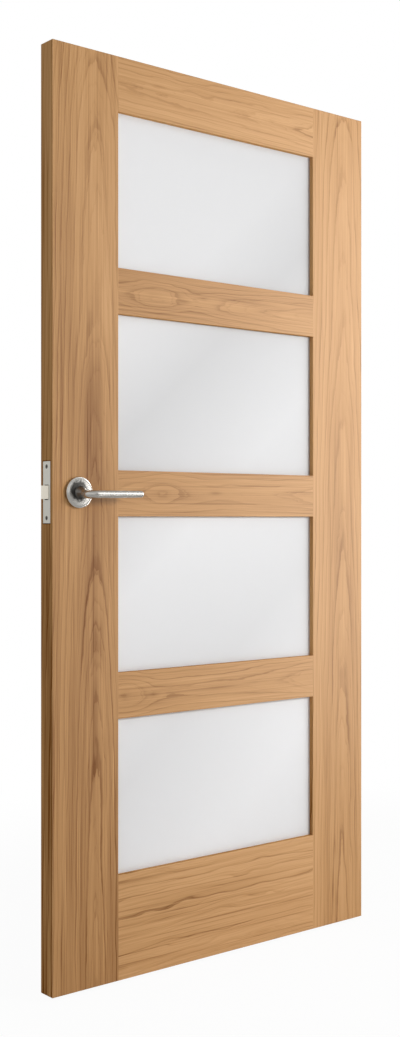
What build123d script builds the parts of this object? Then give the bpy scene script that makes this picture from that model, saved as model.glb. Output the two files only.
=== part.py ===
from build123d import *

import os
from math import radians, tan

# A glazed interior door leaf: oak stiles and rails, obscured panes held by beads, a mortice latch with a
# lever on each side, and butt hinges. The origin is on the jamb-side face of the bottom hinge, at mid
# thickness of the leaf. X runs along the face towards the jamb, Y from the push face to the pull face, Z up.
# All lengths are in millimetres.

# Leaf
leaf_height = 1981.0
leaf_width = 914.0
leaf_thickness = 44.0
stile_width = 168.0
top_rail_height = 118.0
middle_rail_height = 99.0
bottom_rail_height = 226.0
pane_count = 4
arris = 1.0

# Glazing
front_lip = 12.0
glass_thickness = 7.0
rebate_width = 11.0
glass_edge_clearance = 2.0
bead_clearance = 0.2
bead_mitre_gap = 0.3
bead_chamfer = 3.0

# Butt hinges
hinge_names = ["bottom", "middle", "top"]
hinge_height = 102.0
hinge_leaf_width = 31.4
hinge_leaf_thickness = 3.0
hinge_recess_clearance = 0.2
hinge_gap = 3.0
knuckle_radius = 6.5
knuckle_count = 5
knuckle_end_gap = 0.3
knuckle_leaf_gap = 0.6
hinge_pin_radius = 3.5
hinge_pin_clearance = 0.05
hinge_tip_radius = 5.0
hinge_tip_height = 3.0
bottom_hinge_rise = 225.0
top_hinge_drop = 150.0
hinge_hole_radius = 2.6
hinge_hole_edge = 10.0
hinge_hole_stagger = 12.0
hinge_outer_holes = 76.0
hinge_inner_holes = 26.0

# Wood screws
screw_head_radius = 4.6
screw_shank_radius = 2.3
screw_length = 30.0
screw_pilot_clearance = 0.05
screw_cross_width = 1.2
screw_cross_span = 5.0
screw_cross_depth = 1.6
countersink_angle = 90.0

# Mortice latch
latch_height = 1045.0
backset = 64.0
forend_width = 28.0
forend_height = 130.0
forend_thickness = 3.0
forend_bevel = 0.8
forend_clearance = 0.2
forend_screw_spacing = 107.0
bolt_thickness = 14.0
bolt_height = 28.0
bolt_throw = 9.0
bolt_tail = 34.0
bolt_tip_width = 4.0
bolt_bulge = 1.4
bolt_clearance = 0.3
bolt_end_clearance = 1.8
case_height = 74.0
case_thickness = 18.0
case_wall = 1.5
case_beyond_spindle = 18.0
case_clearance = 0.5
case_spindle_hole_radius = 9.0

# Lever furniture
spindle_size = 8.0
spindle_fit = 0.1
spindle_bore_radius = 11.5
spindle_reach = 18.0
rose_radius = 33.0
rose_thickness = 9.0
rose_side = 5.0
rose_shoulder = 2.2
rose_rim = 6.0
journal_radius = 9.0
journal_length = 7.0
journal_clearance = 0.1
flange_gap = 0.3
flange_radius = 15.0
flange_height = 1.8
neck_base_radius = 14.0
lever_offset = 48.0
lever_length = 135.0
bend_radius = 14.0
bar_root_radius = 8.6
bar_tip_radius = 7.1
bar_top_rise = 4.2

# Places that follow from the sizes
half = leaf_thickness / 2
front_face = -half
back_face = half
jamb_face = -hinge_leaf_thickness
hinge_edge = jamb_face - hinge_gap
lock_edge = hinge_edge - leaf_width
bottom = -(bottom_hinge_rise + hinge_height / 2)
top = bottom + leaf_height
pane_left = lock_edge + stile_width
pane_right = hinge_edge - stile_width
pane_height = (
    leaf_height - top_rail_height - bottom_rail_height - (pane_count - 1) * middle_rail_height
) / pane_count
glass_front = front_face + front_lip
glass_back = glass_front + glass_thickness
pin_x = (jamb_face + hinge_edge) / 2
pin_y = back_face + knuckle_radius
spindle_x = lock_edge + backset
spindle_z = bottom + latch_height
overcut = 5.0


def block(x0, x1, y0, y1, z0, z1):
    """A box between two corners."""
    centre = ((x0 + x1) / 2, (y0 + y1) / 2, (z0 + z1) / 2)
    return Pos(*centre) * Box(x1 - x0, y1 - y0, z1 - z0)


def edges_where(shape, axis, keep):
    """The edges along one axis whose centres pass a test."""
    return [e for e in shape.edges().filter_by(axis) if keep(e.center())]


def near(a, b):
    """Whether two coordinates are the same place."""
    return abs(a - b) < 1e-4


def rod(radius, start, end):
    """A cylinder between two points."""
    start, end = Vector(*start), Vector(*end)
    plane = Plane(origin=start, z_dir=end - start)
    return extrude(plane * Circle(radius), (end - start).length)


# Pane openings, counted from the top
def pane_span(index):
    """Lowest and highest point of an opening."""
    high = top - top_rail_height - (index - 1) * (pane_height + middle_rail_height)
    return high - pane_height, high


def opening_cuts(index):
    """What an opening takes out of the timber: the rebate from the back and the eased front arris."""
    low, high = pane_span(index)
    rebate = block(
        pane_left - rebate_width, pane_right + rebate_width,
        glass_front, back_face + overcut,
        low - rebate_width, high + rebate_width,
    )
    width, height = pane_right - pane_left, high - low
    middle = ((pane_left + pane_right) / 2, 0, (low + high) / 2)
    inner = Plane(origin=(middle[0], front_face + arris, middle[2]), x_dir=(1, 0, 0), z_dir=(0, -1, 0))
    outer = Plane(origin=(middle[0], front_face, middle[2]), x_dir=(1, 0, 0), z_dir=(0, -1, 0))
    ease = loft([
        inner * Rectangle(width, height),
        outer * Rectangle(width + 2 * arris, height + 2 * arris),
    ])
    return [rebate, ease]


pane_cuts = [cut for i in range(1, pane_count + 1) for cut in opening_cuts(i)]


def cut_from(shape, cuts):
    """The shape less every cut that reaches it."""
    box = shape.bounding_box()
    for cut in cuts:
        other = cut.bounding_box()
        apart = (
            other.min.X >= box.max.X or other.max.X <= box.min.X
            or other.min.Y >= box.max.Y or other.max.Y <= box.min.Y
            or other.min.Z >= box.max.Z or other.max.Z <= box.min.Z
        )
        if not apart:
            shape = shape - cut
    return shape


# Fasteners
def countersink_depth(hole_radius):
    """How deep a screw head's cone goes before it meets the hole."""
    return (screw_head_radius - hole_radius) / tan(radians(countersink_angle / 2))


def countersunk_hole(face_point, inward, hole_radius, depth):
    """The hole for one countersunk screw, as a solid to cut."""
    inward = Vector(*inward)
    start = Vector(*face_point)
    plane = Plane(origin=start, z_dir=inward)
    cone_depth = countersink_depth(hole_radius)
    cone = loft([
        plane * Circle(screw_head_radius),
        plane.offset(cone_depth) * Circle(hole_radius),
    ])
    return cone + extrude(plane * Circle(hole_radius), depth)


def wood_screw(face_point, inward):
    """One countersunk screw with a cross recess, its head flush with the face."""
    plane = Plane(origin=Vector(*face_point), z_dir=Vector(*inward))
    cone_depth = countersink_depth(screw_shank_radius)
    head = loft([
        plane * Circle(screw_head_radius - screw_pilot_clearance),
        plane.offset(cone_depth) * Circle(screw_shank_radius),
    ])
    screw = head + extrude(plane * Circle(screw_shank_radius), screw_length)
    slot = Rectangle(screw_cross_span, screw_cross_width)
    cross = slot + Rot(0, 0, 90) * slot
    return screw - extrude(plane * cross, screw_cross_depth)


# Hinges
def hinge_centre(name):
    """Height of a hinge's middle above the origin."""
    lowest = bottom + bottom_hinge_rise + hinge_height / 2
    highest = top - top_hinge_drop - hinge_height / 2
    share = hinge_names.index(name) / (len(hinge_names) - 1)
    return lowest + share * (highest - lowest)


hinge_leaf_end = back_face - knuckle_leaf_gap
hinge_leaf_edge = hinge_leaf_end - hinge_leaf_width
edge_row = hinge_leaf_edge + hinge_hole_edge
knuckle_row = edge_row + hinge_hole_stagger


def hinge_hole_places(centre_z, outer_y, inner_y):
    """Where a hinge leaf is screwed down, as pairs of Y and Z: two outer holes and two inner ones."""
    outer = hinge_outer_holes / 2
    inner = hinge_inner_holes / 2
    return [
        (outer_y, centre_z - outer),
        (outer_y, centre_z + outer),
        (inner_y, centre_z - inner),
        (inner_y, centre_z + inner),
    ]


def frame_hole_places(name):
    """The holes for the jamb's screws."""
    return hinge_hole_places(hinge_centre(name), edge_row, knuckle_row)


def door_hole_places(name):
    """The door's holes are staggered the other way, so that closed screw heads don't face each other."""
    return hinge_hole_places(hinge_centre(name), knuckle_row, edge_row)


def hinge_leaf(name, x_low, x_high, own_knuckles):
    """One leaf of a butt hinge with its own knuckles, bored for the pin."""
    low = hinge_centre(name) - hinge_height / 2
    pitch = hinge_height / knuckle_count
    leaf = block(x_low, x_high, hinge_leaf_edge, hinge_leaf_end, low, low + hinge_height)
    for index in own_knuckles:
        z0 = low + index * pitch + knuckle_end_gap / 2
        z1 = low + (index + 1) * pitch - knuckle_end_gap / 2
        leaf = leaf + block(x_low, x_high, hinge_leaf_end - overcut, pin_y, z0, z1)
        leaf = leaf + rod(knuckle_radius, (pin_x, pin_y, z0), (pin_x, pin_y, z1))
    bore = rod(
        hinge_pin_radius + hinge_pin_clearance,
        (pin_x, pin_y, low - overcut), (pin_x, pin_y, low + hinge_height + overcut),
    )
    return leaf - bore


def drilled(leaf, places, screw_face, inward):
    """A hinge leaf with its countersunk screw holes."""
    depth = hinge_leaf_thickness + overcut
    for y, z in places:
        leaf = leaf - countersunk_hole((screw_face, y, z), (inward, 0, 0), hinge_hole_radius, depth)
    return leaf


def frame_hinge_leaf(name):
    """The leaf that is screwed to the jamb. Its knuckles are the first, third and fifth."""
    leaf = hinge_leaf(name, jamb_face, 0, range(0, knuckle_count, 2))
    return drilled(leaf, frame_hole_places(name), jamb_face, 1)


def door_hinge_leaf(name):
    """The leaf let into the door's edge. Its knuckles lie between the other leaf's."""
    leaf = hinge_leaf(name, hinge_edge - hinge_leaf_thickness, hinge_edge, range(1, knuckle_count, 2))
    return drilled(leaf, door_hole_places(name), hinge_edge, -1)


def hinge_pin(name):
    """The pin with a button tip at each end."""
    low = hinge_centre(name) - hinge_height / 2 + knuckle_end_gap / 2
    high = hinge_centre(name) + hinge_height / 2 - knuckle_end_gap / 2
    pin = rod(hinge_pin_radius, (pin_x, pin_y, low), (pin_x, pin_y, high))
    foot = rod(hinge_tip_radius, (pin_x, pin_y, low - hinge_tip_height), (pin_x, pin_y, low))
    head = rod(hinge_tip_radius, (pin_x, pin_y, high), (pin_x, pin_y, high + hinge_tip_height))
    ease = hinge_tip_height / 2
    foot = fillet(foot.edges().sort_by(Axis.Z)[:1], ease)
    head = fillet(head.edges().sort_by(Axis.Z)[-1:], ease)
    return pin + foot + head


def hinge_screws(name):
    """The screws that hold the door's leaf of one hinge."""
    places = door_hole_places(name)
    return Compound(children=[wood_screw((hinge_edge, y, z), (-1, 0, 0)) for y, z in places])


def hinge_recess_cuts(name):
    """What one hinge takes out of the stile: the leaf's recess and the screws' pilot holes."""
    z = hinge_centre(name)
    reach = hinge_height / 2 + hinge_recess_clearance
    recess = block(
        hinge_edge - hinge_leaf_thickness, hinge_edge + overcut,
        hinge_leaf_edge - hinge_recess_clearance, back_face + overcut,
        z - reach, z + reach,
    )
    pilots = [
        rod(
            screw_shank_radius + screw_pilot_clearance,
            (hinge_edge, y, hole_z), (hinge_edge - screw_length - screw_pilot_clearance, y, hole_z),
        )
        for y, hole_z in door_hole_places(name)
    ]
    return [recess] + pilots


# Latch
case_front = lock_edge + forend_thickness
case_back = spindle_x + case_beyond_spindle
forend_screw_heights = [
    spindle_z - forend_screw_spacing / 2,
    spindle_z + forend_screw_spacing / 2,
]


def latch_forend():
    """The face plate in the lock edge, with the bolt's window and two countersunk holes."""
    plate = block(
        lock_edge, case_front,
        -forend_width / 2, forend_width / 2,
        spindle_z - forend_height / 2, spindle_z + forend_height / 2,
    )
    plate = chamfer(plate.faces().sort_by(Axis.X)[0].edges(), forend_bevel)
    side = bolt_thickness / 2 + bolt_clearance
    rise = bolt_height / 2 + bolt_end_clearance
    plate = plate - block(
        lock_edge - overcut, case_front + overcut, -side, side, spindle_z - rise, spindle_z + rise
    )
    for z in forend_screw_heights:
        plate = plate - countersunk_hole(
            (lock_edge, 0, z), (1, 0, 0), screw_shank_radius + screw_pilot_clearance,
            forend_thickness + overcut,
        )
    return plate


def latch_case():
    """The case behind the face plate, open to the plate and bored for the spindle."""
    outer = block(
        case_front, case_back, -case_thickness / 2, case_thickness / 2,
        spindle_z - case_height / 2, spindle_z + case_height / 2,
    )
    inner = block(
        case_front - overcut, case_back - case_wall,
        -case_thickness / 2 + case_wall, case_thickness / 2 - case_wall,
        spindle_z - case_height / 2 + case_wall, spindle_z + case_height / 2 - case_wall,
    )
    hole = rod(
        case_spindle_hole_radius,
        (spindle_x, -case_thickness, spindle_z), (spindle_x, case_thickness, spindle_z),
    )
    return outer - inner - hole


def latch_bolt():
    """The sprung bolt: a bar with a curved bevel that faces the push side."""
    side = bolt_thickness / 2
    tip = lock_edge - bolt_throw
    bevel_end = side - bolt_tip_width
    mid = ((lock_edge + tip) / 2 - bolt_bulge, (bevel_end - side) / 2 - bolt_bulge / 2)
    outline = [
        Line((lock_edge + bolt_tail, -side), (lock_edge, -side)),
        ThreePointArc((lock_edge, -side), mid, (tip, bevel_end)),
        Line((tip, bevel_end), (tip, side)),
        Line((tip, side), (lock_edge + bolt_tail, side)),
        Line((lock_edge + bolt_tail, side), (lock_edge + bolt_tail, -side)),
    ]
    face = make_face(Wire(outline))
    return Pos(0, 0, spindle_z - bolt_height / 2) * extrude(face, bolt_height, dir=(0, 0, 1))


def forend_screws():
    """The two screws of the face plate."""
    return Compound(children=[wood_screw((lock_edge, 0, z), (1, 0, 0)) for z in forend_screw_heights])


def latch_cuts():
    """What the latch and its spindle take out of the stile."""
    width = forend_width / 2 + forend_clearance
    rise = forend_height / 2 + forend_clearance
    recess = block(
        lock_edge - overcut, case_front, -width, width, spindle_z - rise, spindle_z + rise
    )
    side = case_thickness / 2 + case_clearance
    reach = case_height / 2 + case_clearance
    mortice = block(
        case_front - overcut, case_back + case_clearance, -side, side, spindle_z - reach, spindle_z + reach
    )
    bore = rod(
        spindle_bore_radius,
        (spindle_x, front_face - overcut, spindle_z), (spindle_x, back_face + overcut, spindle_z),
    )
    pilots = [
        rod(
            screw_shank_radius + screw_pilot_clearance,
            (lock_edge, 0, z), (lock_edge + screw_length + screw_pilot_clearance, 0, z),
        )
        for z in forend_screw_heights
    ]
    return [recess, mortice, bore] + pilots


# Lever furniture, made for the back of the door round the Y axis and mirrored for the front
def to_back(shape):
    """Moves a fitting made at the origin to the back face."""
    return Pos(spindle_x, back_face, spindle_z) * shape


def to_front(shape):
    """Mirrors a fitting made at the origin to the front face."""
    return mirror(to_back(shape), about=Plane.XZ)


def rose():
    """A round rose with a side wall, a rounded shoulder and a shallow rim."""
    bore = journal_radius + journal_clearance
    rim = rose_radius - rose_rim
    shoulder = (rose_radius - rose_shoulder, rose_side + rose_shoulder)
    outline = [
        Line((bore, 0), (rose_radius, 0)),
        Line((rose_radius, 0), (rose_radius, rose_side)),
        TangentArc((rose_radius, rose_side), shoulder, tangent=(0, 1)),
        Line(shoulder, (rim, rose_thickness)),
        Line((rim, rose_thickness), (bore, rose_thickness)),
        Line((bore, rose_thickness), (bore, 0)),
    ]
    return revolve(make_face(Wire(outline)), Axis.Y)


def between(low, high, share):
    """A value part of the way from one to another."""
    return low + share * (high - low)


bar_root_drop = bar_root_radius - bar_top_rise
bar_tip_drop = bar_tip_radius - bar_top_rise
bend_start = lever_offset - bend_radius


def lever_section(centre, direction, radius):
    """A round section of the lever, square to that direction."""
    return Plane(origin=centre, x_dir=(0, 0, 1), z_dir=direction) * Circle(radius)


def lever_neck(base):
    """The flare from the flange to the bend, which also drops to the bar's height."""
    sections = []
    for share in (0, 1 / 3, 2 / 3, 1):
        flare = (neck_base_radius - bar_root_radius) * (1 - share) ** 2
        drop = bar_root_drop * share**2 * (3 - 2 * share)
        centre = (0, between(base, bend_start, share), -drop)
        sections.append(lever_section(centre, (0, 1, 0), bar_root_radius + flare))
    return loft(sections)


def lever_bend():
    """The quarter turn from the neck into the bar."""
    section = lever_section((0, bend_start, -bar_root_drop), (0, 1, 0), bar_root_radius)
    pivot = Axis((bend_radius, bend_start, -bar_root_drop), (0, 0, -1))
    return revolve(section, pivot, 90)


def lever_bar():
    """The tapered bar with its top edge level, and its round tip."""
    tip = (lever_length - bar_tip_radius, lever_offset, -bar_tip_drop)
    bar = loft([
        lever_section((bend_radius, lever_offset, -bar_root_drop), (1, 0, 0), bar_root_radius),
        lever_section(tip, (1, 0, 0), bar_tip_radius),
    ])
    return bar + Pos(*tip) * Sphere(bar_tip_radius)


def lever():
    """A journal and flange at the rose, and a round bar that flares, bends and tapers to a round tip."""
    base = rose_thickness + flange_gap
    neck_start = base + flange_height
    journal_start = base - journal_length
    journal = rod(journal_radius, (0, journal_start, 0), (0, base, 0))
    flange = rod(flange_radius, (0, base, 0), (0, neck_start, 0))
    flange = fillet(flange.edges().sort_by(Axis.Y)[-1:], (flange_radius - neck_base_radius) / 2)
    side = spindle_size + 2 * spindle_fit
    socket_end = rose_thickness + spindle_reach
    socket = block(-side / 2, side / 2, journal_start - overcut, socket_end, -side / 2, side / 2)
    return journal + flange + lever_neck(neck_start) + lever_bend() + lever_bar() - socket


def spindle():
    """The square bar that joins the two levers through the latch."""
    reach = back_face + rose_thickness + spindle_reach - spindle_fit
    return Pos(spindle_x, 0, spindle_z) * Box(spindle_size, 2 * reach, spindle_size)


# Timber
def stile(x_outer, x_inner, extra_cuts):
    """A full-height upright with its outer arrises eased and its rebates cut."""
    post = block(min(x_outer, x_inner), max(x_outer, x_inner), front_face, back_face, bottom, top)
    uprights = edges_where(post, Axis.Z, lambda c: near(c.X, x_outer))
    ends = edges_where(post, Axis.X, lambda c: True)
    corners = edges_where(post, Axis.Y, lambda c: near(c.X, x_outer))
    post = chamfer(uprights + ends + corners, arris)
    return cut_from(post, pane_cuts + extra_cuts)


def rail(low, high):
    """A cross member between the stiles. An outer edge of the leaf is eased."""
    beam = block(pane_left, pane_right, front_face, back_face, low, high)
    eased = edges_where(
        beam, Axis.X,
        lambda c: (near(c.Z, top) or near(c.Z, bottom)) and not near(c.Y, 0),
    )
    if eased:
        beam = chamfer(eased, arris)
    return cut_from(beam, pane_cuts)


def middle_rail(index):
    """The rail under the pane of that number."""
    return rail(pane_span(index + 1)[1], pane_span(index)[0])


# Glass and beads
def glass_pane(index):
    """One pane, bedded against the front lip."""
    low, high = pane_span(index)
    lap = rebate_width - glass_edge_clearance
    return block(
        pane_left - lap, pane_right + lap, glass_front, glass_back, low - lap, high + lap
    )


def bead(corners, inner_edge):
    """One glazing bead from its outline seen from behind, with its sight edge chamfered."""
    outline = Polyline(*[(x, glass_back, z) for x, z in corners], close=True)
    strip = extrude(make_face(outline), back_face - glass_back, dir=(0, 1, 0))
    axis, keep = inner_edge
    sight = edges_where(strip, axis, lambda c: near(c.Y, back_face) and keep(c))
    return chamfer(sight, bead_chamfer)


def glazing_beads(index):
    """The four mitred beads that hold one pane from the back."""
    low, high = pane_span(index)
    lap = rebate_width - bead_clearance
    left, right, base, head = pane_left - lap, pane_right + lap, low - lap, high + lap
    gap = bead_mitre_gap
    sets = [
        ([(left + gap, base), (right - gap, base), (pane_right - gap, low), (pane_left + gap, low)],
         (Axis.X, lambda c: near(c.Z, low))),
        ([(left + gap, head), (right - gap, head), (pane_right - gap, high), (pane_left + gap, high)],
         (Axis.X, lambda c: near(c.Z, high))),
        ([(left, base + gap), (pane_left, low + gap), (pane_left, high - gap), (left, head - gap)],
         (Axis.Z, lambda c: near(c.X, pane_left))),
        ([(right, base + gap), (pane_right, low + gap), (pane_right, high - gap), (right, head - gap)],
         (Axis.Z, lambda c: near(c.X, pane_right))),
    ]
    return Compound(children=[bead(corners, edge) for corners, edge in sets])


def all_nodes():
    """Every piece by its name."""
    hinge_cuts = [cut for name in hinge_names for cut in hinge_recess_cuts(name)]
    nodes = {
        "lock_stile": stile(lock_edge, pane_left, latch_cuts()),
        "hinge_stile": stile(hinge_edge, pane_right, hinge_cuts),
        "top_rail": rail(top - top_rail_height, top),
        "bottom_rail": rail(bottom, bottom + bottom_rail_height),
        "latch_forend": latch_forend(),
        "latch_case": latch_case(),
        "latch_bolt": latch_bolt(),
        "forend_screws": forend_screws(),
        "front_rose": to_front(rose()),
        "back_rose": to_back(rose()),
        "front_lever": to_front(lever()),
        "back_lever": to_back(lever()),
        "spindle": spindle(),
    }
    for index in range(1, pane_count):
        nodes[f"middle_rail_{index}"] = middle_rail(index)
    for index in range(1, pane_count + 1):
        nodes[f"glass_pane_{index}"] = glass_pane(index)
        nodes[f"glazing_beads_{index}"] = glazing_beads(index)
    for name in hinge_names:
        nodes[f"{name}_hinge_frame_leaf"] = frame_hinge_leaf(name)
        nodes[f"{name}_hinge_door_leaf"] = door_hinge_leaf(name)
        nodes[f"{name}_hinge_pin"] = hinge_pin(name)
        nodes[f"{name}_hinge_screws"] = hinge_screws(name)
    return nodes


def main():
    os.makedirs("parts", exist_ok=True)
    for name, shape in all_nodes().items():
        export_step(shape, f"parts/{name}.step")


main()
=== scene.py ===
# %% [markdown]
# # A glazed oak door
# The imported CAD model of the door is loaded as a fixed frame: stiles, rails, panes, beads, latch, levers
# and hinges are already the right shape and in the right place. This lesson leaves their shapes alone and
# gives them the looks of the real door, one finish at a time.

import math

import bmesh
import bpy
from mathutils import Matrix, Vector


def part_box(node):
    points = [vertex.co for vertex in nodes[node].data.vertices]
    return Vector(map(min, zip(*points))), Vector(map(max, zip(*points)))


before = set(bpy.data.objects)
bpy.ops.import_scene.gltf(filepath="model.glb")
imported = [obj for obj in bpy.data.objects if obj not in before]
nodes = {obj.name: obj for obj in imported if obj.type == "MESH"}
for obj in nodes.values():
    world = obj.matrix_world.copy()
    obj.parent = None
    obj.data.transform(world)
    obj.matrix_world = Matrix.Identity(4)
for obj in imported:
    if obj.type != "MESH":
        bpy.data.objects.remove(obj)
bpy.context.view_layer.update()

# %% [markdown]
# ## The camera
# The picture was taken from the lock side of the door, at about the height of the handle, with the camera
# held level. A camera can be placed by eye, but here its place was worked out from the leaf's corners, so
# the focal length is given in pixels of the picture and turned into millimetres on Blender's 36 mm
# sensor.

# %% Camera
PICTURE_HEIGHT = 1037
FOCAL_PIXELS = 1346.438
SENSOR = 36.0
CAMERA_PLACE = Vector((-2.4431, -2.3650, 0.7146))
CAMERA_YAW = math.radians(39.285)

camera_data = bpy.data.cameras.new("picture_camera")
camera_data.sensor_width = SENSOR
camera_data.lens = FOCAL_PIXELS * SENSOR / PICTURE_HEIGHT
camera = bpy.data.objects.new("picture_camera", camera_data)
camera.location = CAMERA_PLACE
camera.rotation_euler = (math.pi / 2, 0, -CAMERA_YAW)
bpy.context.scene.collection.objects.link(camera)
bpy.context.scene.camera = camera
bpy.context.scene.view_settings.view_transform = "Standard"
print("camera lens:", round(camera_data.lens, 2), "mm")

# %% [markdown]
# ## Wires
# A shader is a net of small nodes. Wiring them one by one hides what is being worked out, so a Wire
# stands for one output of a node and takes part in ordinary sums: `1 - mask` adds a Math node and gives
# back its output. Every other node comes from one method of Finish, which takes the node's kind, its
# settings and its sockets. The few groups of nodes that every finish needs are methods too.

# %% The Wire and the Finish
ONE_SOCKET = (int, str)


def pick(sockets, key):
    """A socket by its number, or by its name among those in use."""
    if isinstance(key, int):
        return sockets[key]
    return next(s for s in sockets if s.enabled and s.name == key)


class Wire:
    """One output of a node. Sums on it add Math nodes."""

    def __init__(self, finish, socket):
        self.finish = finish
        self.socket = socket

    def maths(self, operation, *others):
        return self.finish.add("Math", {"operation": operation}, dict(enumerate([self, *others])))

    def __add__(self, other):
        return self.maths("ADD", other)

    def __sub__(self, other):
        return self.maths("SUBTRACT", other)

    def __mul__(self, other):
        return self.maths("MULTIPLY", other)

    def __truediv__(self, other):
        return self.maths("DIVIDE", other)

    def __rsub__(self, other):
        return self.finish.add("Math", {"operation": "SUBTRACT"}, {0: other, 1: self})

    __radd__ = __add__
    __rmul__ = __mul__

    def rise(self, low, high):
        """0 below low, 1 above high, and a smooth rise between."""
        limits = {"Value": self, "From Min": low, "From Max": high}
        return self.finish.add("MapRange", {"interpolation_type": "SMOOTHSTEP"}, limits, "Result")


class Finish:
    """A node tree being built for a material or the world."""

    def __init__(self, owner):
        owner.use_nodes = True
        self.tree = owner.node_tree
        self.tree.nodes.clear()

    def add(self, kind, settings=None, sockets=None, output=0):
        """Adds one node: settings first, then sockets. Gives back the named output, or a list of them."""
        node = self.tree.nodes.new("ShaderNode" + kind)
        for name, value in (settings or {}).items():
            if name == "stops":
                set_stops(node.color_ramp, value)
            elif name == "curve":
                set_curve(node.mapping, value)
            else:
                setattr(node, name, value)
        for key, value in (sockets or {}).items():
            target = pick(node.inputs, key)
            if isinstance(value, Wire):
                self.tree.links.new(value.socket, target)
            else:
                target.default_value = value
        if not node.outputs:
            return node
        if isinstance(output, ONE_SOCKET):
            return Wire(self, pick(node.outputs, output))
        return [Wire(self, pick(node.outputs, key)) for key in output]

    def place(self):
        """A point of the piece, in metres: as one vector, and as x, y and z."""
        spot = self.add("TexCoord", output="Object")
        return [spot, *self.add("SeparateXYZ", None, {"Vector": spot}, ("X", "Y", "Z"))]

    def noise(self, spot, size, shift, detail=2.0):
        """Noise from 0 to 1 whose grains have that size along X, Y and Z, in the units of spot."""
        share = [1 / s for s in size]
        moved = self.add("VectorMath", {"operation": "MULTIPLY_ADD"}, {0: spot, 1: share, 2: shift})
        return self.add("TexNoise", None, {"Vector": moved, "Scale": 1.0, "Detail": detail}, "Fac")

    def ramp(self, stops, level):
        """The colour at a level along a row of colours."""
        return self.add("ValToRGB", {"stops": stops}, {"Fac": level}, "Color")

    def mix(self, factor, first, second):
        """The first colour where the factor is 0, the second where it is 1."""
        return self.add("Mix", {"data_type": "RGBA"}, {"Factor": factor, "A": first, "B": second}, "Result")

    def bump(self, height, strength, distance):
        """The surface's direction over a relief. distance is how many metres a height of 1 stands for."""
        sockets = {"Strength": strength, "Distance": distance, "Height": height}
        return self.add("Bump", None, sockets, "Normal")

    def surface(self, sockets):
        """Ends a material with one surface."""
        skin = self.add("BsdfPrincipled", None, sockets, "BSDF")
        self.add("OutputMaterial", None, {"Surface": skin})


def set_stops(ramp, stops):
    """Puts colours at places along a ramp."""
    while len(ramp.elements) > 1:
        ramp.elements.remove(ramp.elements[-1])
    ramp.elements[0].position = stops[0][0]
    ramp.elements[0].color = stops[0][1]
    for place, colour in stops[1:]:
        ramp.elements.new(place).color = colour


def set_curve(mapping, points):
    """Puts a smooth curve through points."""
    curve = mapping.curves[0]
    while len(curve.points) > 2:
        curve.points.remove(curve.points[1])
    for knot, (place, value) in zip(curve.points, (points[0], points[-1])):
        knot.location = (place, value)
    for place, value in points[1:-1]:
        curve.points.new(place, value)
    mapping.update()


def start(name):
    """A new material and the finish that will be wired into it."""
    material = bpy.data.materials.new(name)
    return material, Finish(material)


def dress(node, material):
    """Gives a CAD node its finish."""
    for slot in nodes[node].material_slots:
        slot.material = material


def paint(red, green, blue):
    """A colour written as on a screen, from 0 to 255, as Blender's linear light."""
    shares = [c / 255 for c in (red, green, blue)]
    return tuple(s / 12.92 if s <= 0.04045 else ((s + 0.055) / 1.055) ** 2.4 for s in shares) + (1.0,)


WHITE = paint(255, 255, 255)
print("white paint is", WHITE[:3])

# %% [markdown]
# ## The studio
# The door stands in front of pure white. White walls could be built round it, but the world can do the
# same: it is white to the camera and to what shows in mirrors and through glass, and a weaker grey to
# plain light, so that it only fills the shadows. One lamp in front, on the hinge side and above the
# handle, lights the door and gives the lever its short shadow. Two panels are only seen in reflections: a
# tall one further round lays a satin sheen on the hinge side, and a small high one puts a glint on the
# lever. Mirrors also see a dark corner of the studio in front of the door and a grey ceiling: without
# these, metal would have nothing dark to show.

# %% World and lamps
AMBIENT = 0.48
DARK_CORNER = Vector((0.36, -0.92, 0.0)).normalized()
CORNER_DARKNESS = 0.80
CORNER_FADE = (0.80, 0.98)
CEILING_DARKNESS = 0.45
CEILING_FADE = (0.45, 0.95)

world = bpy.data.worlds.new("white_studio")
bpy.context.scene.world = world
sky = Finish(world)


def seen_rays(finish):
    """1 for rays from the camera, mirrors and glass, 0 for plain light. Mirrors also come on their own."""
    looks = ("Is Camera Ray", "Is Glossy Ray", "Is Transmission Ray")
    seen, mirrored, through = finish.add("LightPath", output=looks)
    return seen.maths("MAXIMUM", mirrored).maths("MAXIMUM", through), mirrored


looking = sky.add("TexCoord", output="Generated")
forward = sky.add("VectorMath", {"operation": "DOT_PRODUCT"}, {0: looking, 1: DARK_CORNER}, "Value")
upward = sky.add("SeparateXYZ", None, {"Vector": looking}, "Z")
seen, mirrored = seen_rays(sky)
dark_corner = CORNER_DARKNESS * forward.rise(*CORNER_FADE)
grey_ceiling = CEILING_DARKNESS * upward.rise(*CEILING_FADE)
shade = mirrored * dark_corner.maths("MAXIMUM", grey_ceiling)
fill = sky.add("Background", None, {"Color": WHITE, "Strength": AMBIENT})
white = sky.add("Background", None, {"Color": WHITE, "Strength": 1 - shade})
backdrop = sky.add("MixShader", None, {0: seen, 1: fill, 2: white})
sky.add("OutputWorld", None, {"Surface": backdrop})


def soft_lamp(name, place, target, width, height, watts, mirrored):
    """A rectangular lamp that faces a point. It is either only seen in reflections or only lights."""
    data = bpy.data.lights.new(name, "AREA")
    data.shape = "RECTANGLE"
    data.size = width
    data.size_y = height
    data.energy = watts
    lamp = bpy.data.objects.new(name, data)
    lamp.location = place
    aim = Vector(target) - Vector(place)
    lamp.rotation_euler = aim.to_track_quat("-Z", "Y").to_euler()
    lamp.visible_camera = False
    lamp.visible_diffuse = not mirrored
    lamp.visible_glossy = mirrored
    bpy.context.scene.collection.objects.link(lamp)


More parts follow.
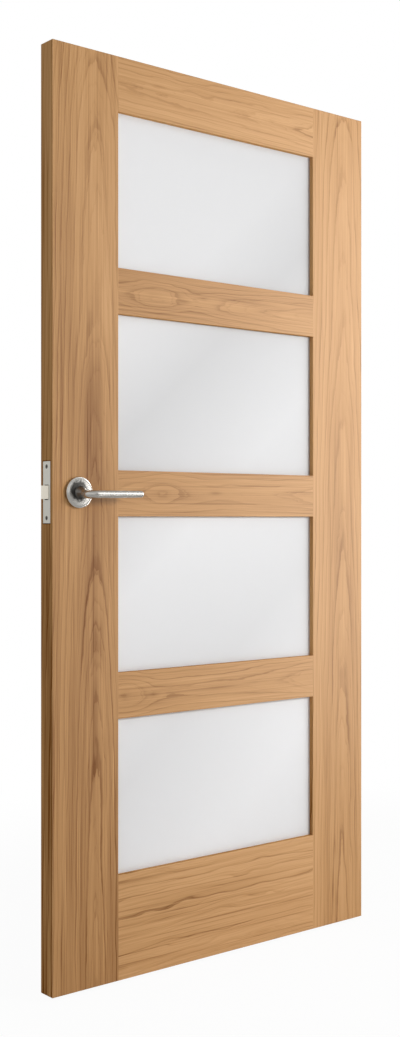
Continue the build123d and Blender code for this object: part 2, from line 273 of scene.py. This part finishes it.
soft_lamp(
    "front_lamp", place=(0.85, -2.4, 1.35), target=(-0.5, 0.0, 0.9),
    width=0.6, height=0.6, watts=50, mirrored=False,
)
soft_lamp(
    "sheen_panel", place=(1.9, -1.9, 0.9), target=(-0.2, 0.0, 0.7),
    width=1.0, height=2.8, watts=86, mirrored=True,
)
soft_lamp(
    "glint_panel", place=(0.9, -2.2, 2.1), target=(-0.8, 0.0, 0.8),
    width=1.2, height=0.5, watts=7, mirrored=True,
)
print("studio lit by", len(bpy.data.lights), "lamps")

# %% [markdown]
# ## The floor
# A photographer would lay white paper under the door. Plain white paper would come out grey in this
# light, so the floor shines white to the camera by itself and lets only a small share of its lit surface
# through. That share keeps a faint shadow under the leaf and fades out further away. To mirrors the floor
# is grey.

# %% Floor
LEAF_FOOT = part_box("lock_stile")[0].z
FLOOR_CLEARANCE = 0.008
FLOOR_REACH = 60.0
FLOOR_GREY = paint(235, 235, 234)
SHADOW_SHARE = 0.05
SHADOW_FADE = (0.9, 1.9)
MIRRORED_DARKNESS = 0.42

floor_mesh = bpy.data.meshes.new("studio_floor")
builder = bmesh.new()
bmesh.ops.create_grid(builder, x_segments=1, y_segments=1, size=FLOOR_REACH)
builder.to_mesh(floor_mesh)
builder.free()
floor = bpy.data.objects.new("studio_floor", floor_mesh)
floor.location = (0, 0, LEAF_FOOT - FLOOR_CLEARANCE)
bpy.context.scene.collection.objects.link(floor)

floor_paint, pale = start("pale_floor")
spot = pale.add("TexCoord", output="Object")
distance = pale.add("VectorMath", {"operation": "LENGTH"}, {0: spot}, "Value")
seen, mirrored = seen_rays(pale)
whiteness = 1 - SHADOW_SHARE + SHADOW_SHARE * distance.rise(*SHADOW_FADE)
matt = pale.add("BsdfDiffuse", None, {"Color": FLOOR_GREY})
glow = pale.add("Emission", None, {"Color": WHITE, "Strength": 1 - MIRRORED_DARKNESS * mirrored})
ground = pale.add("MixShader", None, {0: seen * whiteness, 1: matt, 2: glow})
pale.add("OutputMaterial", None, {"Surface": ground})
floor_mesh.materials.append(floor_paint)
print("floor at", round(floor.location.z, 4))

# %% [markdown]
# ## Oak
# The boards are flat-sawn: the saw passes the log to one side of its heart, so the growth rings come out
# as tall arches in the middle of a board and as straight lines near its edges. A picture of oak would
# repeat and would not match on the edges. Here the log itself is in the shader: each board knows how far
# the heart lies from its face along its length, and the ring that a point belongs to follows from its
# distance to the heart. Where that depth passes a whole number of rings an arch comes to its point, so
# the points can be put where they are on the real door. Over the rings lie finer rings, streaks, fibres,
# dark pores and a few marks. Light and shade are painted in as well: broad patches of painted shade and
# painted light darken the lock side and lighten the hinge side, the hinge stile is partly painted paler,
# the edges are painted darker towards the foot, the arrises are painted paler as a highlight, and a thin
# painted shadow runs round the latch plate. The faces have a thin satin lacquer, which is the coat of the
# shader, and the edges are left bare.

# %% Where a point lies in a board
MM = 1000.0
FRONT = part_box("lock_stile")[0].y
LEAF_HEIGHT = (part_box("lock_stile")[1].z - LEAF_FOOT) * MM
SEED_STEPS = (7.3, 3.1, 5.7)
# How far the painted shadow round a let-in plate reaches, in millimetres.
GAP_SHADE_FADE = (0.7, 2.0)


class Board:
    """Where a point lies in a board, in millimetres: along the grain, across it and below the front."""

    def __init__(self, finish, node, grain):
        low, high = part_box(node)
        self.finish = finish
        _, x, y, z = finish.place()
        rightward = (x - low.x) * MM
        upward = (z - low.z) * MM
        self.upward = (z - LEAF_FOOT) * MM
        self.along, self.across = (upward, rightward) if grain == "up" else (rightward, upward)
        self.deep = (y - FRONT) * MM
        self.length = (high.z - low.z if grain == "up" else high.x - low.x) * MM
        self.spot = finish.add("CombineXYZ", None, {"X": self.along, "Y": self.across, "Z": self.deep})

    def cloud(self, size, seed, detail=2.0):
        """Noise about -1 to 1 whose grains are that many millimetres long, wide and thick."""
        shift = [seed * step for step in SEED_STEPS]
        return self.finish.noise(self.spot, size, shift, detail) * 4 - 2

    def mark(self, along, across, length, width):
        """A soft patch, 1 at its middle and fading to 0: a flame, or broad painted light or shade."""
        p = (self.along - along) / length
        q = (self.across - across) / width
        return (0 - (p * p + q * q)).maths("EXPONENT")

    def seam(self, node):
        """1 on a thin painted shadow round a plate let into the edge, where the gap lies in shade."""
        low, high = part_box(node)
        middle = (low + high) / 2
        half = (high - low) / 2
        aside = (self.deep - (middle.y - FRONT) * MM).maths("ABSOLUTE") - half.y * MM
        above = (self.upward - (middle.z - LEAF_FOOT) * MM).maths("ABSOLUTE") - half.z * MM
        return 1 - aside.maths("MAXIMUM", above).rise(*GAP_SHADE_FADE)


print("leaf", round(LEAF_HEIGHT), "mm high, front face at", round(FRONT, 4))

# %% Growth rings
DEEPEST = 130.0
INWARD_BEND = 0.25
RIPPLE = 0.16
FINER = 2.7
RING_PROFILE = [
    (0, 0.9), (0.05, 1.0), (0.16, 0.5), (0.34, 0.2), (0.65, 0.08), (0.86, 0.0), (0.95, 0.1), (1, 0.9),
]


def growth_rings(board, heart, centre, spacing, sway, seed):
    """How many rings lie between the log's heart and a point."""
    curve = [(place / board.length, depth / DEEPEST) for place, depth in heart]
    share = board.along / board.length
    depth = board.finish.add("FloatCurve", {"curve": curve}, {"Value": share}) * DEEPEST
    bend = board.cloud((190, 42, 60), seed) * sway
    ripple = board.cloud((46, 9, 12), seed + 3) * (sway * RIPPLE)
    inward = depth + board.deep + bend * INWARD_BEND + ripple
    sideways = board.across - centre + bend
    return (inward * inward + sideways * sideways).maths("SQRT") / spacing


def ring_line(finish, rings, seed):
    """The dark line where each ring starts, and a strength from 0 to 1 that differs from ring to ring."""
    line = finish.add("FloatCurve", {"curve": RING_PROFILE}, {"Value": rings.maths("FRACT")})
    number = rings.maths("FLOOR") + seed
    strength = finish.add("TexWhiteNoise", {"noise_dimensions": "1D"}, {"W": number}, "Value")
    return line, strength


print("a ring's line has", len(RING_PROFILE), "points, and", FINER, "finer rings lie in each ring")

# %% [markdown]
# ## Layers of the wood
# Each layer adds to one number, the figure, which is 0 for the palest oak and 1 for the darkest. A ramp
# of three browns then turns the figure into a colour. Mixing colours layer by layer would do as well, but
# sums of plain numbers are easier to balance, and every board keeps to the same browns.

# %% Oak finish
OAK_TONES = [(0.0, paint(206, 159, 109)), (0.34, paint(189, 142, 91)), (1.0, paint(119, 70, 20))]
BASE_TONE = 0.26
WIDE_BANDS = 0.09
FIBRES = 0.11
DARK_STREAKS = 0.22
PALE_STREAKS = 0.15
PORES = 0.10
CLOUDS = 0.07
# Strength of the thin painted shadow round the latch plate.
GAP_SHADE = 0.5
# Painted highlight: the eased arrises are painted paler.
ARRIS_HIGHLIGHT = -0.18
EDGE_BASE = -0.24
# Painted shade: the edges are painted darker towards the foot, as if lit from above.
EDGE_FOOT_SHADE = 0.34
EDGE_STREAKS = 0.14
EDGE_CORNER = 0.16
RELIEF_STRENGTH = 0.35
RELIEF_HEIGHT = 0.0003
LACQUER = 0.55


def sides(finish):
    """1 on the edges of a board, and 1 on the eased arris between an edge and a face."""
    turned = finish.add("TexCoord", output="Normal")
    facing = finish.add("SeparateXYZ", None, {"Vector": turned}, "Y").maths("ABSOLUTE")
    return 1 - facing.rise(0.3, 0.6), facing.rise(0.5, 0.65) - facing.rise(0.75, 0.95)


def oak(node, grain, heart, centre, spacing, seed, flames_and_painted_light=(), sway=5.0, heartwood=0.0, dim=0.13, bold=0.24,
        shade=0.0, threads=0.09, streaks=1.1, shaded_plate=None):
    """One board's finish, in millimetres.

    heart gives the depth of the log's heart at places along the board, and centre its place across. spacing
    is the width of a ring and sway how far the rings wander. bold, threads and streaks say how strongly the
    rings, the finer rings and the streaks show. shade darkens the whole board, or below 0 makes it paler,
    which on the hinge stile is partly painted light, and dim darkens the wood within so many rings,
    heartwood, of the heart. The soft patches, dark or, below 0, pale, are flames in the wood and broad
    patches of painted shade and painted light. A plate let into the edge gets a thin painted shadow round
    it, where the gap lies in shade.
    """
    material, finish = start("oak_" + node)
    board = Board(finish, node, grain)
    rings = growth_rings(board, heart, centre, spacing, sway, seed)
    line, strength = ring_line(finish, rings, seed * 13)
    fade = board.cloud((260, 30, 30), seed + 5).rise(-1.1, 0.9)
    strong = line * (0.35 + 0.65 * strength) * (0.35 + 0.65 * fade)
    fine_line, fine_strength = ring_line(finish, rings * FINER, seed)
    streak = board.cloud((420, 4.2, 7), seed + 1)
    wide = board.cloud((700, 24, 22), seed + 7, 1.0)
    fibre = board.cloud((170, 1.8, 3), seed + 2)
    pores = board.cloud((10, 0.5, 0.5), seed + 4).rise(0.55, 1.1) * (0.4 + 0.6 * line)
    cloudy = board.cloud((420, 70, 60), seed + 6)
    dusk = 1 - rings.rise(heartwood - 0.8, heartwood + 0.4)
    streaky = DARK_STREAKS * streak.rise(0.2, 1.0) - PALE_STREAKS * (0 - streak).rise(0.25, 1.0)
    figure = BASE_TONE + shade + bold * strong + threads * (fine_line * fine_strength)
    figure = figure + WIDE_BANDS * wide + FIBRES * fibre + streaks * streaky
    figure = figure + PORES * pores + CLOUDS * cloudy + dim * dusk
    edge, arris = sides(finish)
    # Painted shade: 1 at the foot, 0 at the top, used to darken the edges lower down.
    foot_shade = 1 - board.upward / LEAF_HEIGHT
    corner = 1 - board.deep.rise(1, 8)
    edge_tone = EDGE_BASE + EDGE_FOOT_SHADE * foot_shade + EDGE_STREAKS * streak + EDGE_CORNER * corner
    # The arris term is a painted highlight.
    figure = figure + edge * edge_tone + ARRIS_HIGHLIGHT * arris
    # Painted shade: a thin dark line round the latch plate, where the gap lies in shade.
    if shaded_plate:
        figure = figure + GAP_SHADE * edge * board.seam(shaded_plate)
    # Soft patches: flames in the wood, and broad patches of painted shade and painted light.
    for along, across, length, width, darkness in flames_and_painted_light:
        figure = figure + darkness * board.mark(along, across, length, width)
    height = 0 - (pores + 0.35 * strong + 0.12 * fibre)
    finish.surface({
        "Base Color": finish.ramp(OAK_TONES, figure),
        "Roughness": 0.60 + 0.10 * pores + 0.06 * strong,
        "Normal": finish.bump(height, RELIEF_STRENGTH, RELIEF_HEIGHT),
        "Specular IOR Level": 0.0,
        "Coat Weight": LACQUER - LACQUER * edge,
        "Coat Roughness": 0.45,
    })
    return material


print("oak tones:", [[round(c, 3) for c in colour[:3]] for _, colour in OAK_TONES])

# %% Oak boards
BOARDS = {
    "lock_stile": dict(
        grain="up", centre=109, spacing=10, seed=1.0, heartwood=8.0,
        dim=0.2, bold=0.52, threads=0.24, streaks=1.3, shaded_plate="latch_forend",
        heart=[(0, 31), (250, 35), (454, 40), (727, 50), (883, 60), (1216, 70), (1417, 80), (1809, 90),
               (1960, 100), (1981, 102)],
        # The long patch along the lock edge is painted shade; the other two are flames in the wood.
        flames_and_painted_light=[(545, 101, 70, 9, 0.06), (1190, 90, 200, 42, 0.22), (650, 4, 800, 50, 0.22)],
    ),
    "hinge_stile": dict(
        # Its negative shade paints the stile paler: partly its own tone, partly painted light from the
        # hinge side.
        grain="up", centre=101, spacing=10, seed=2.0, heartwood=8.0, bold=0.55, shade=-0.11, threads=0.17,
        heart=[(0, 35), (188, 40), (599, 50), (900, 60), (1206, 70), (1409, 80), (1811, 90), (1971, 100),
               (1981, 101)],
        flames_and_painted_light=[(188, 75, 26, 4, 0.22), (85, 68, 34, 4, 0.26), (60, 80, 22, 3, 0.2)],
    ),
    "top_rail": dict(
        grain="across", centre=60, spacing=8, seed=3.0, sway=8.0, shade=-0.08, bold=0.46, threads=0.15,
        heart=[(0, 46.7), (250, 44), (452, 36), (578, 30)],
        # The broad pale patch at the hinge end is painted light; the small one is a flame.
        flames_and_painted_light=[(110, 76, 20, 3, 0.2), (500, 60, 190, 90, -0.11)],
    ),
    "middle_rail_1": dict(
        grain="across", centre=47, spacing=8, seed=4.0, shade=0.09, bold=0.36, threads=0.15,
        heart=[(0, 43), (32, 40), (102, 34), (172, 40), (205, 43), (300, 38), (440, 32), (578, 28)],
        # The broad patches, darker at the lock end and paler at the hinge end, are painted shade and
        # painted light; the small ones are flames.
        flames_and_painted_light=[(182, 45, 16, 4, 0.25), (235, 56, 14, 4, 0.2), (60, 50, 260, 90, 0.08),
               (540, 50, 120, 90, -0.06)],
    ),
    "middle_rail_2": dict(
        grain="across", centre=50, spacing=8, seed=5.0, shade=0.06, bold=0.36, threads=0.15,
        heart=[(0, 46), (72, 40), (120, 35), (172, 40), (272, 46), (400, 43), (522, 40), (578, 36)],
        # The broad dark patch at the lock end is painted shade; the small ones are flames.
        flames_and_painted_light=[(272, 53, 18, 4, 0.25), (552, 55, 30, 4, 0.15), (120, 50, 240, 90, 0.09)],
    ),
    "middle_rail_3": dict(
        grain="across", centre=46, spacing=8, seed=6.0, shade=0.02, bold=0.36, threads=0.15,
        heart=[(0, 34), (22, 33), (72, 40), (100, 45), (250, 46), (482, 40), (578, 33)],
        # The broad dark patch at the lock end is painted shade; the small ones are flames.
        flames_and_painted_light=[(92, 45, 14, 4, 0.25), (280, 45, 50, 3, 0.15), (100, 50, 240, 90, 0.09)],
    ),
    "bottom_rail": dict(
        grain="across", centre=-70, spacing=19, seed=7.0, sway=11.0, shade=-0.15, bold=0.6, threads=0.3,
        streaks=1.7,
        heart=[(0, 60), (200, 40), (400, 32), (578, 30)],
        # Both broad patches are painted: shade at the lock end, light at the hinge end.
        flames_and_painted_light=[(60, 110, 260, 160, 0.06), (560, 110, 150, 160, -0.05)],
    ),
}
for node, board in BOARDS.items():
    dress(node, oak(node, **board))
print("boards:", ", ".join(BOARDS))

# %% [markdown]
# ## Beads
# The beads that hold the glass from behind are thin mitred strips, so their grain is straight. One finish
# serves all four beads of a pane: it asks on which side of the mitre a point lies and runs the grain that
# way.

# %% Bead finish
MITRE_BLUR = 0.0001
STREAK_SIZE = (200, 2.0, 3.0)
FIBRE_SIZE = (30, 0.6, 0.8)
PORE_SIZE = (9, 0.5, 0.5)


def bead_oak(node, seed):
    """Straight-grained oak that turns at the mitres."""
    material, finish = start("oak_" + node)
    low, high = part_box(node)
    _, x, y, z = finish.place()
    from_side = (x - low.x).maths("MINIMUM", high.x - x)
    from_end = (z - low.z).maths("MINIMUM", high.z - z)
    upright = (from_end - from_side).rise(-MITRE_BLUR, MITRE_BLUR)
    flat = 1 - upright
    along = (upright * z + flat * x) * MM
    across = (upright * x + flat * z) * MM
    spot = finish.add("CombineXYZ", None, {"X": along, "Y": across, "Z": y * MM})
    shift = [seed] * 3
    streak = finish.noise(spot, STREAK_SIZE, shift, 3.0) * 4 - 2
    fibre = finish.noise(spot, FIBRE_SIZE, shift) * 4 - 2
    pores = (finish.noise(spot, PORE_SIZE, shift) * 4 - 2).rise(0.55, 1.1)
    figure = 0.40 + 0.12 * streak + 0.05 * fibre + 0.12 * pores
    height = 0 - (pores + 0.15 * fibre)
    finish.surface({
        "Base Color": finish.ramp(OAK_TONES, figure),
        "Roughness": 0.5 + 0.1 * pores,
        "Normal": finish.bump(height, RELIEF_STRENGTH, RELIEF_HEIGHT),
        "Specular IOR Level": 0.25,
    })
    return material


PANES = range(1, 5)
for index in PANES:
    node = f"glazing_beads_{index}"
    dress(node, bead_oak(node, 10.0 + index))
print("bead sets:", len(PANES))

# %% [markdown]
# ## Obscured glass
# The panes are etched: light comes through, but nothing can be seen. Rough clear glass would show the
# dark of the room behind it, so most of the light is scattered at the surface and only some passes
# through. The panes are a pale neutral grey, and the etching leaves a very fine tooth. Light is painted on
# them too: slow diagonal bands of painted reflection run on from pane to pane, the lower two panes are
# painted lighter to make up for weaker light there, and each pane is painted darker towards the hinge
# side, against the stronger light and sheen there.

# %% Glass finish
LOCK_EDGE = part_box("lock_stile")[0].x
BAND_START = LOCK_EDGE + 0.5
BAND_SLOPE = 0.87
BAND_SPAN = 2200.0
# Painted reflection: the tones of the slow diagonal bands.
PAINTED_REFLECTION_TONES = [(0, 247), (300, 250), (680, 236), (1080, 245), (1430, 225), (1650, 242), (2200, 253)]
# Painted light: each pane's level, the lower two painted lighter.
PANE_LIGHT_LEVELS = [0.955, 0.95, 1.035, 1.08]
# Painted shade: the glass is painted darker towards the hinge side.
HINGE_SIDE_SHADE = 0.17
TOOTH_FINENESS = 2600.0


def grey(level):
    """A grey from 0 to 255, a touch cool."""
    return paint(level - 1, level - 1, level)


def obscured_glass(index, level):
    """One etched pane, with diagonal bands of painted reflection and painted light and shade."""
    material, finish = start(f"obscured_glass_{index}")
    spot, x, _, z = finish.place()
    band = ((z - LEAF_FOOT) - BAND_SLOPE * (x - BAND_START)) * MM / BAND_SPAN
    # Painted reflection in slow diagonal bands.
    bands = finish.ramp([(place / BAND_SPAN, grey(tone)) for place, tone in PAINTED_REFLECTION_TONES], band)
    # Painted light and shade: the pane's level, painted darker towards the hinge side.
    painted_light_scale = level - HINGE_SIDE_SHADE * (x - LOCK_EDGE)
    tone = finish.add("VectorMath", {"operation": "SCALE"}, {0: bands, "Scale": painted_light_scale}, "Vector")
    tooth = finish.add("TexNoise", None, {"Vector": spot, "Scale": TOOTH_FINENESS, "Detail": 1.0}, "Fac")
    finish.surface({
        "Base Color": tone,
        "Roughness": 0.35 + 0.1 * tooth,
        "Normal": finish.bump(tooth, 0.1, 0.0001),
        "Transmission Weight": 0.3,
        "IOR": 1.45,
        "Specular IOR Level": 0.15,
    })
    return material


for index, level in zip(PANES, PANE_LIGHT_LEVELS):
    dress(f"glass_pane_{index}", obscured_glass(index, level))
print("panes:", len(PANES))

# %% [markdown]
# ## Metal
# The levers are satin nickel, the latch plate is brushed steel and the hinges are a plainer brushed
# steel. All are metals with a fairly wide highlight, and what sets them apart is the direction and
# strength of the brushing, which is noise drawn out along one line. The roses were turned on a lathe, so
# their marks are rings round the spindle, and their slight dome is a relief. Round the neck of the lever
# both are painted dark: a painted reflection of the dark surroundings, and painted shade in the corner
# between lever and rose.

# %% Metal finishes
SPINDLE = (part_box("spindle")[0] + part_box("spindle")[1]) / 2
# Painted dark round the lever's neck: painted reflection and painted shade.
PAINTED_NECK_DARK = paint(52, 50, 47)
RING_WIDTH = 0.35
# The painted dark on the rose is centred a little up and towards the lock edge, in millimetres.
NECK_SHADE_SHIFT = 3


def brushed_metal(name, tint, roughness, stretch, wear, seed, neck=None):
    """Metal with fine brushing. stretch is the size of one brush mark in millimetres along X, Y and Z.

    neck gives the distances from mid thickness between which the painted dark round the lever's neck fades
    out: painted reflection and painted shade.
    """
    material, finish = start(name)
    spot, _, y, _ = finish.place()
    brush = finish.noise(spot, [size / MM for size in stretch], [seed] * 3)
    smudge = finish.add("TexNoise", None, {"Vector": spot, "Scale": 55.0, "Detail": 2.0}, "Fac")
    dull = tuple(c * (1 - wear) for c in tint[:3]) + (1.0,)
    colour = finish.mix(brush, dull, tint)
    if neck:
        depth = y.maths("ABSOLUTE") * MM
        # Painted reflection and painted shade: the lever is painted dark near the rose.
        neck_shade = (1 - (depth + (smudge * 12 - 6)).rise(*neck)) * 0.75
        colour = finish.mix(neck_shade, colour, PAINTED_NECK_DARK)
    finish.surface({
        "Base Color": colour,
        "Roughness": roughness - 0.03 + 0.04 * brush + 0.02 * smudge,
        "Metallic": 1.0,
        "Normal": finish.bump(brush, 0.04, 0.00005),
    })
    return material


def turned_metal(name, tint, roughness, dome, corner):
    """Metal turned about the spindle: fine rings, a slight dome, and painted reflection and painted shade
    round the neck as far out as the corner.
    """
    material, finish = start(name)
    spot, x, _, z = finish.place()
    out = (x - SPINDLE.x) * MM
    up = (z - SPINDLE.z) * MM
    radius = (out * out + up * up).maths("SQRT")
    shade_out = out + NECK_SHADE_SHIFT
    shade_up = up - NECK_SHADE_SHIFT
    reach = (shade_out * shade_out + shade_up * shade_up).maths("SQRT")
    turns = {"W": radius / RING_WIDTH, "Scale": 1.0}
    rings = finish.add("TexNoise", {"noise_dimensions": "1D"}, turns, "Fac")
    smudge = finish.add("TexNoise", None, {"Vector": spot, "Scale": 150.0, "Detail": 3.0}, "Fac")
    # Painted reflection and painted shade: the rose is painted dark round the neck.
    neck_shade = (1 - (reach + (smudge * 14 - 7)).rise(corner - 3, corner + 3)) * 0.85
    finish.surface({
        "Base Color": finish.mix(rings * 0.12 + neck_shade, tint, PAINTED_NECK_DARK),
        "Roughness": roughness + 0.05 * rings + 0.1 * neck_shade,
        "Metallic": 1.0,
        "Normal": finish.bump(0 - radius * radius * dome, 1.0, 1 / MM),
    })
    return material


rose_nickel = turned_metal("turned_nickel", paint(200, 197, 191), roughness=0.22, dome=0.0015, corner=21.0)
nickel = brushed_metal(
    "satin_nickel", paint(190, 187, 181), roughness=0.27, stretch=(5.0, 0.3, 0.3), wear=0.08, seed=1.0,
    neck=(36, 62),
)
plate_steel = brushed_metal(
    "latch_plate_steel", paint(206, 204, 195), roughness=0.36, stretch=(0.4, 0.4, 9.0), wear=0.14, seed=2.0,
)
bolt_plating = brushed_metal(
    "plated_bolt", paint(236, 229, 214), roughness=0.30, stretch=(0.4, 0.4, 6.0), wear=0.06, seed=3.0,
)
screw_steel = brushed_metal(
    "dark_screw_steel", paint(104, 100, 94), roughness=0.40, stretch=(0.6, 0.6, 0.6), wear=0.2, seed=4.0,
)
hinge_steel = brushed_metal(
    "hinge_steel", paint(158, 157, 152), roughness=0.36, stretch=(0.4, 0.4, 8.0), wear=0.14, seed=5.0,
)
for side in ("front", "back"):
    dress(f"{side}_rose", rose_nickel)
    dress(f"{side}_lever", nickel)
for node in ("latch_forend", "latch_case", "spindle"):
    dress(node, plate_steel)
dress("latch_bolt", bolt_plating)
dress("forend_screws", screw_steel)
for hinge in ("bottom", "middle", "top"):
    for piece in ("frame_leaf", "door_leaf", "pin", "screws"):
        dress(f"{hinge}_hinge_{piece}", hinge_steel)
